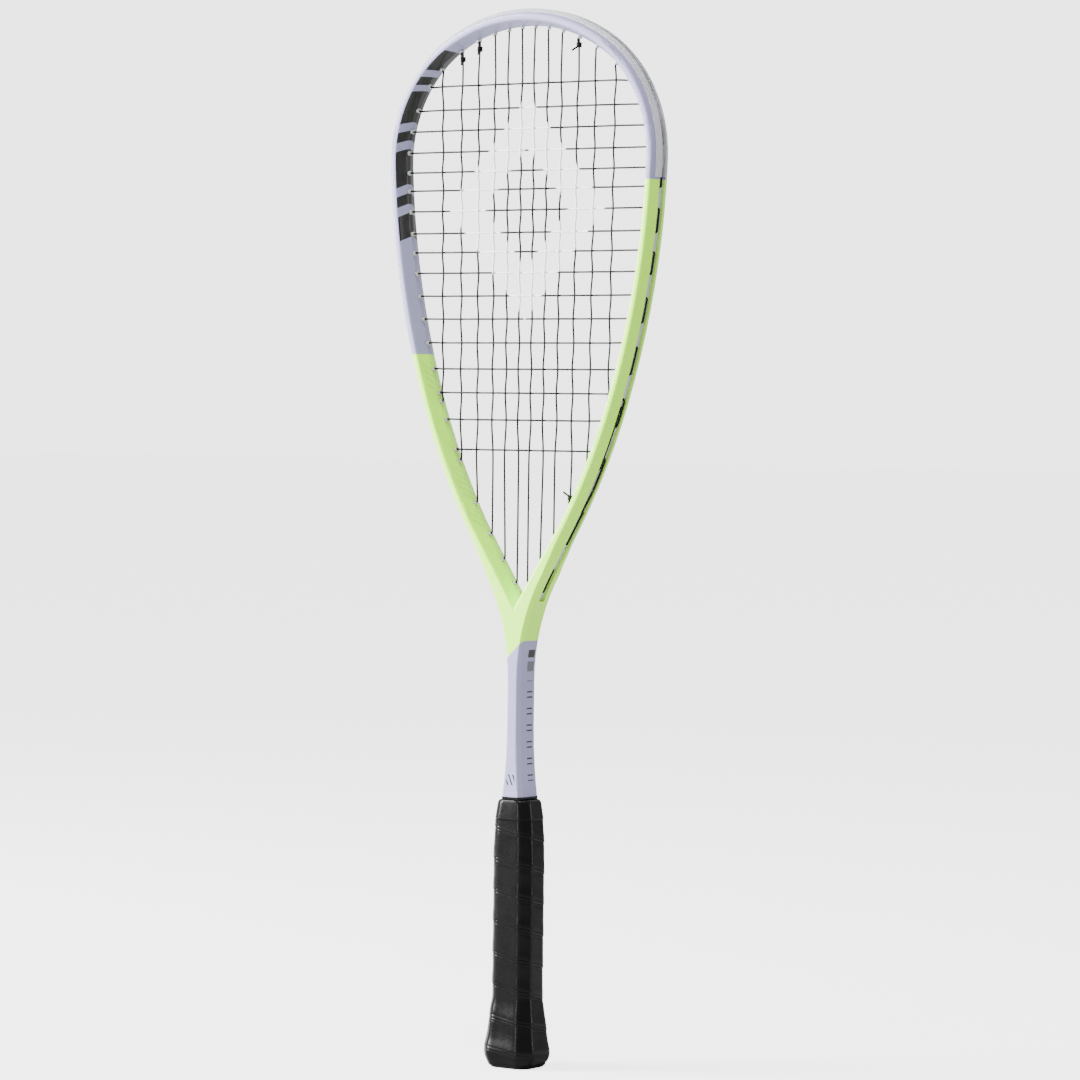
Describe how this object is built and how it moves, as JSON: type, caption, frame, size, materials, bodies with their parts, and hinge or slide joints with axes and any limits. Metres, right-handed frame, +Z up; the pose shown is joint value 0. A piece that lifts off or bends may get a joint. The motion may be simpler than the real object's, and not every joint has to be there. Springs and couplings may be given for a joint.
{
  "type": "squash racket",
  "caption": "Squash racket with a teardrop carbon frame, open throat-to-crown string bed, grommet strips, head bumper and a wrapped octagonal handle.",
  "frame": {"origin": "centre of the butt's end face, at the bottom of the handle", "axes": "+Z up the shaft from butt to head, X across the string bed, Y square to the string bed"},
  "size_m": [0.213, 0.0354, 0.685],
  "materials": {
    "painted_carbon": "gloss lacquer over carbon-fibre laminate, lavender grey and pastel lime",
    "clear_nylon": "smooth translucent nylon",
    "grommet_nylon": "smooth translucent nylon",
    "string_black": "satin multifilament with a clear coat",
    "handle_foam": "moulded rigid foam",
    "core_foam": "closed-cell foam",
    "cap_plastic": "moulded, fine grain",
    "badge_plastic": "smooth",
    "staple_steel": "plain wire",
    "grip_polyurethane": "cushioned polyurethane wrap with a leather grain",
    "collar_rubber": "smooth satin rubber",
    "tape_vinyl": "smooth glossy tape"
  },
  "bodies": {
    "root": {"frame": "painted_carbon", "head_bumper": "clear_nylon", "grommet_strip_left": "grommet_nylon", "grommet_strip_right": "grommet_nylon", "throat_grommets_left": "grommet_nylon", "throat_grommets_right": "grommet_nylon", "main_string": "string_black", "cross_string": "string_black", "pallet_front": "handle_foam", "pallet_back": "handle_foam", "foam_core": "core_foam", "butt_cap": "cap_plastic", "butt_badge": "badge_plastic", "butt_staples": "staple_steel", "grip_staple": "staple_steel", "grip_tape": "grip_polyurethane", "rubber_collar": "collar_rubber", "finishing_tape": "tape_vinyl"}
  },
  "joints": []
}
